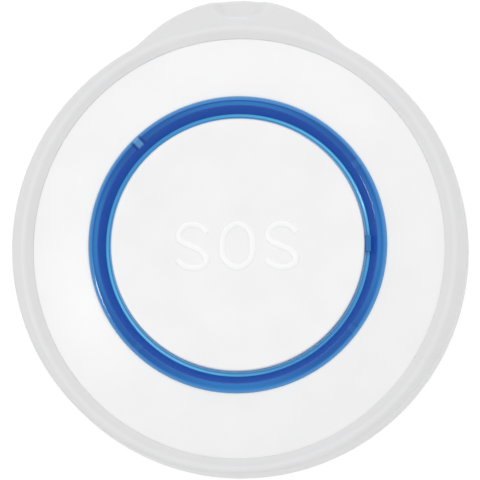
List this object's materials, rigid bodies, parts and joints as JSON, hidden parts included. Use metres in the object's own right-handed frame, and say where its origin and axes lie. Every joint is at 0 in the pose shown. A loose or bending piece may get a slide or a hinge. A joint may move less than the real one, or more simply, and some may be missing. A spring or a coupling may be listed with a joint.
{
  "type": "wireless panic button",
  "caption": "Round wearable alarm pendant: a large press button inside a clear blue light ring, white domed front, frosted rear housing with a lanyard lug and a coin-turned battery cover.",
  "frame": {"origin": "centre of the flat back, on the button's axis", "axes": "+Z out of the button, +Y towards the lanyard lug, +X to the right as the button is looked at"},
  "size_m": [0.0456, 0.048, 0.0114],
  "materials": {
    "frosted_shell": "frosted translucent plastic",
    "white_plastic": "satin white plastic",
    "blue_clear": "clear blue light guide",
    "seal_rubber": "black seal rubber",
    "silicone": "milky silicone",
    "dark_plastic": "moulded black plastic",
    "board_green": "green solder mask",
    "led_body": "clear lens",
    "chip_black": "moulded chip body",
    "steel": "plated steel",
    "ceramic_tan": "fired ceramic",
    "copper": "bare copper",
    "cell_steel": "polished can",
    "spring_metal": "plated spring strip"
  },
  "bodies": {
    "housing": {"rear_housing": "frosted_shell", "front_cover": "white_plastic", "cover_seal": "seal_rubber", "light_ring": "blue_clear", "button_boot": "silicone", "switch_body": "dark_plastic", "circuit_board": "board_green", "status_leds": "led_body", "radio_chip": "chip_black", "controller_chip": "chip_black", "crystal": "steel", "capacitors": "ceramic_tan", "resistors": "chip_black", "loop_antenna": "copper", "board_screws": "steel", "coin_cell": "cell_steel", "positive_contact": "spring_metal", "negative_contact": "spring_metal"},
    "button": {"button_cap": "white_plastic", "switch_plunger": "dark_plastic"},
    "battery_lid": {"battery_cover": "white_plastic", "battery_cover_seal": "seal_rubber"}
  },
  "joints": [
    {"name": "button_press", "type": "slide", "parent": "housing", "child": "button", "axis": [0, 0, -1], "range_m": [0, 0.0004], "stiffness_N_per_m": 4000, "springref_m": -0.0005, "deforming": ["button_boot"]},
    {"name": "battery_cover_turn", "type": "hinge", "parent": "housing", "child": "battery_lid", "pos_m": [0, 0, 0], "axis": [0, 0, -1], "range_deg": [0, 35]}
  ]
}
